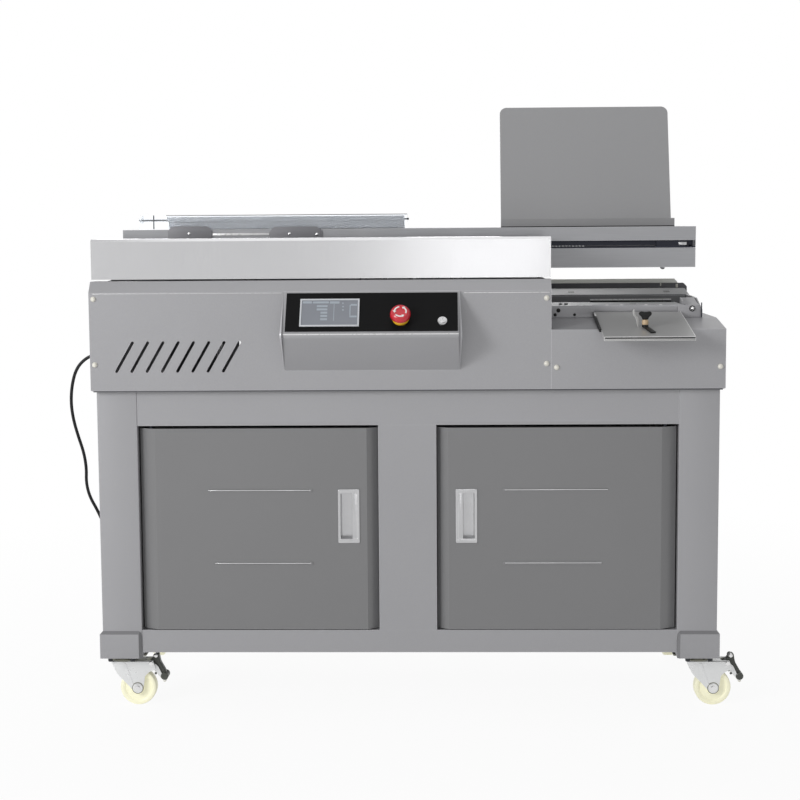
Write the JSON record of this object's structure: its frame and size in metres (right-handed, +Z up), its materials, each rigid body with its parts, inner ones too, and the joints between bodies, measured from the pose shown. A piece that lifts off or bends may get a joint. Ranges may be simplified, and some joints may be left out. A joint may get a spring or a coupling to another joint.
{
  "type": "perfect binding machine",
  "caption": "Wheeled glue binding machine: cabinet with doors, hinged lid, clamp carriage on beams, console and nip station.",
  "frame": {"origin": "on the floor, under the middle of the machine's box without its cord", "axes": "+X along the machine to the nip station, +Y to the back, +Z up"},
  "size_m": [1.4413, 0.7175, 1.245],
  "materials": {
    "case_paint": "satin metallic grey powder coat",
    "door_paint": "satin mid grey powder coat",
    "lid_metal": "fine metallic silver-grey coat, semi gloss",
    "dark_sheet": "dark grey satin paint",
    "machined": "brushed, anodised",
    "bright_steel": "ground steel",
    "zinc": "bright zinc plate",
    "chrome": "polished",
    "panel_black": "satin black film",
    "display_case": "light grey bezel",
    "stop_red": "moulded red",
    "stop_yellow": "moulded yellow",
    "wheel_nylon": "ivory nylon",
    "pedal_grey": "dark grey enamel",
    "clear_acrylic": "clear polished sheet",
    "white_cap": "cream screw caps",
    "motor_enamel": "dark enamel",
    "cord_black": "black flexible jacket",
    "knob_black": "moulded black"
  },
  "bodies": {
    "root": {"corner_posts": "case_paint", "cabinet_frame": "case_paint", "cabinet_panels": "case_paint", "caster_plates": "zinc", "main_case": "case_paint", "right_case": "case_paint", "case_panels": "case_paint", "case_screws": "white_cap", "console_housing": "case_paint", "console_face": "panel_black", "display": "display_case", "stop_collar": "stop_yellow", "key_lock": "chrome", "front_guide_beam": "machined", "rear_guide_beam": "machined", "carriage_rails": "bright_steel", "beam_brackets": "case_paint", "hinge_pins": "bright_steel", "unit_motors": "motor_enamel", "glue_tank": "bright_steel", "cover_rest": "machined", "station_frame": "case_paint", "cover_tray": "lid_metal", "power_cord": "cord_black", "cord_coil": "cord_black", "power_plug": "cord_black", "cord_gland": "cord_black"},
    "left_door": {"left_door": "door_paint", "left_door_handle": "chrome"},
    "right_door": {"right_door": "door_paint", "right_door_handle": "chrome"},
    "front_lid": {"front_lid": "lid_metal"},
    "clear_guard": {"clear_guard": "clear_acrylic"},
    "carriage": {"carriage_frame": "dark_sheet", "rear_jaw": "machined", "backrest_plate": "lid_metal", "carriage_motor": "motor_enamel"},
    "front_jaw": {"front_jaw": "machined"},
    "drive_pinion": {"drive_pinion": "bright_steel"},
    "milling_cutter": {"milling_cutter": "bright_steel"},
    "notching_cutter": {"notching_cutter": "bright_steel"},
    "glue_roller_left": {"glue_roller_left": "chrome"},
    "glue_roller_right": {"glue_roller_right": "chrome"},
    "nip_table": {"nip_table": "machined"},
    "front_nip_plate": {"front_nip_plate": "machined"},
    "stop_button": {"stop_button": "stop_red"},
    "key_rotor": {"key_rotor": "bright_steel"},
    "tray_knob": {"tray_knob": "knob_black"},
    "caster_fork_front_left": {"caster_fork_front_left": "zinc"},
    "caster_wheel_front_left": {"caster_wheel_front_left": "wheel_nylon"},
    "caster_pedal_front_left": {"caster_pedal_front_left": "pedal_grey"},
    "caster_fork_front_right": {"caster_fork_front_right": "zinc"},
    "caster_wheel_front_right": {"caster_wheel_front_right": "wheel_nylon"},
    "caster_pedal_front_right": {"caster_pedal_front_right": "pedal_grey"},
    "caster_fork_rear_left": {"caster_fork_rear_left": "zinc"},
    "caster_wheel_rear_left": {"caster_wheel_rear_left": "wheel_nylon"},
    "caster_pedal_rear_left": {"caster_pedal_rear_left": "pedal_grey"},
    "caster_fork_rear_right": {"caster_fork_rear_right": "zinc"},
    "caster_wheel_rear_right": {"caster_wheel_rear_right": "wheel_nylon"},
    "caster_pedal_rear_right": {"caster_pedal_rear_right": "pedal_grey"}
  },
  "joints": [
    {"name": "left_door_hinge", "type": "hinge", "parent": "root", "child": "left_door", "pos_m": [-0.54575, -0.196, 0.378], "axis": [0, 0, -1], "range_deg": [0, 110]},
    {"name": "right_door_hinge", "type": "hinge", "parent": "root", "child": "right_door", "pos_m": [0.49025, -0.196, 0.378], "axis": [0, 0, 1], "range_deg": [0, 110]},
    {"name": "front_lid_hinge", "type": "hinge", "parent": "root", "child": "front_lid", "pos_m": [-0.02775, 0.004, 0.957], "axis": [-1, 0, 0], "range_deg": [0, 75]},
    {"name": "clear_guard_hinge", "type": "hinge", "parent": "root", "child": "clear_guard", "pos_m": [-0.31475, 0.057, 1.003], "axis": [-1, 0, 0], "range_deg": [0, 100]},
    {"name": "carriage_slide", "type": "slide", "parent": "root", "child": "carriage", "axis": [1, 0, 0], "range_m": [-0.786, 0]},
    {"name": "front_jaw_slide", "type": "slide", "parent": "carriage", "child": "front_jaw", "axis": [0, 1, 0], "range_m": [0, 0.056]},
    {"name": "drive_pinion_spin", "type": "hinge", "parent": "carriage", "child": "drive_pinion", "pos_m": [0.37225, 0.171, 0.9567], "axis": [0, 1, 0], "continuous": true},
    {"name": "milling_cutter_spin", "type": "hinge", "parent": "root", "child": "milling_cutter", "pos_m": [0.03225, 0.083, 0.874], "axis": [0, 0, 1], "continuous": true},
    {"name": "notching_cutter_spin", "type": "hinge", "parent": "root", "child": "notching_cutter", "pos_m": [-0.10775, 0.083, 0.8625], "axis": [0, 1, 0], "continuous": true},
    {"name": "glue_roller_left_spin", "type": "hinge", "parent": "root", "child": "glue_roller_left", "pos_m": [-0.37775, 0.083, 0.855], "axis": [0, 1, 0], "continuous": true},
    {"name": "glue_roller_right_spin", "type": "hinge", "parent": "root", "child": "glue_roller_right", "pos_m": [-0.27775, 0.083, 0.855], "axis": [0, 1, 0], "continuous": true},
    {"name": "nip_table_lift", "type": "slide", "parent": "root", "child": "nip_table", "axis": [0, 0, 1], "range_m": [0, 0.06]},
    {"name": "front_nip_slide", "type": "slide", "parent": "nip_table", "child": "front_nip_plate", "axis": [0, 1, 0], "range_m": [0, 0.056]},
    {"name": "stop_button_press", "type": "slide", "parent": "root", "child": "stop_button", "axis": [0, 0.7761, -0.6306], "range_m": [0, 0.005], "stiffness_N_per_m": 900},
    {"name": "key_turn", "type": "hinge", "parent": "root", "child": "key_rotor", "pos_m": [0.04425, -0.27356, 0.80024], "axis": [0, -0.7761, 0.6306], "range_deg": [-90, 0]},
    {"name": "tray_knob_turn", "type": "hinge", "parent": "root", "child": "tray_knob", "pos_m": [0.44425, -0.232, 0.8], "axis": [0, 0, 1], "continuous": true},
    {"name": "caster_swivel_front_left", "type": "hinge", "parent": "root", "child": "caster_fork_front_left", "pos_m": [-0.62225, -0.15, 0.095], "axis": [0, 0, 1], "continuous": true},
    {"name": "caster_roll_front_left", "type": "hinge", "parent": "caster_fork_front_left", "child": "caster_wheel_front_left", "pos_m": [-0.59125, -0.15, 0.0375], "axis": [0, 1, 0], "continuous": true},
    {"name": "caster_brake_front_left", "type": "hinge", "parent": "caster_fork_front_left", "child": "caster_pedal_front_left", "pos_m": [-0.56225, -0.15, 0.089], "axis": [0, 1, 0], "range_deg": [0, 18]},
    {"name": "caster_swivel_front_right", "type": "hinge", "parent": "root", "child": "caster_fork_front_right", "pos_m": [0.56675, -0.15, 0.095], "axis": [0, 0, 1], "continuous": true},
    {"name": "caster_roll_front_right", "type": "hinge", "parent": "caster_fork_front_right", "child": "caster_wheel_front_right", "pos_m": [0.59775, -0.15, 0.0375], "axis": [0, 1, 0], "continuous": true},
    {"name": "caster_brake_front_right", "type": "hinge", "parent": "caster_fork_front_right", "child": "caster_pedal_front_right", "pos_m": [0.62675, -0.15, 0.089], "axis": [0, 1, 0], "range_deg": [0, 18]},
    {"name": "caster_swivel_rear_left", "type": "hinge", "parent": "root", "child": "caster_fork_rear_left", "pos_m": [-0.61575, 0.212, 0.095], "axis": [0, 0, 1], "continuous": true},
    {"name": "caster_roll_rear_left", "type": "hinge", "parent": "caster_fork_rear_left", "child": "caster_wheel_rear_left", "pos_m": [-0.61575, 0.243, 0.0375], "axis": [-1, 0, 0], "continuous": true},
    {"name": "caster_brake_rear_left", "type": "hinge", "parent": "caster_fork_rear_left", "child": "caster_pedal_rear_left", "pos_m": [-0.61575, 0.272, 0.089], "axis": [-1, 0, 0], "range_deg": [0, 18]},
    {"name": "caster_swivel_rear_right", "type": "hinge", "parent": "root", "child": "caster_fork_rear_right", "pos_m": [0.56025, 0.212, 0.095], "axis": [0, 0, 1], "continuous": true},
    {"name": "caster_roll_rear_right", "type": "hinge", "parent": "caster_fork_rear_right", "child": "caster_wheel_rear_right", "pos_m": [0.56025, 0.243, 0.0375], "axis": [-1, 0, 0], "continuous": true},
    {"name": "caster_brake_rear_right", "type": "hinge", "parent": "caster_fork_rear_right", "child": "caster_pedal_rear_right", "pos_m": [0.56025, 0.272, 0.089], "axis": [-1, 0, 0], "range_deg": [0, 18]}
  ],
  "couplings": [
    {"joint": "drive_pinion_spin", "follows": "carriage_slide", "rad_per_m": -66.667},
    {"joint": "glue_roller_right_spin", "follows": "glue_roller_left_spin", "ratio": 1}
  ]
}
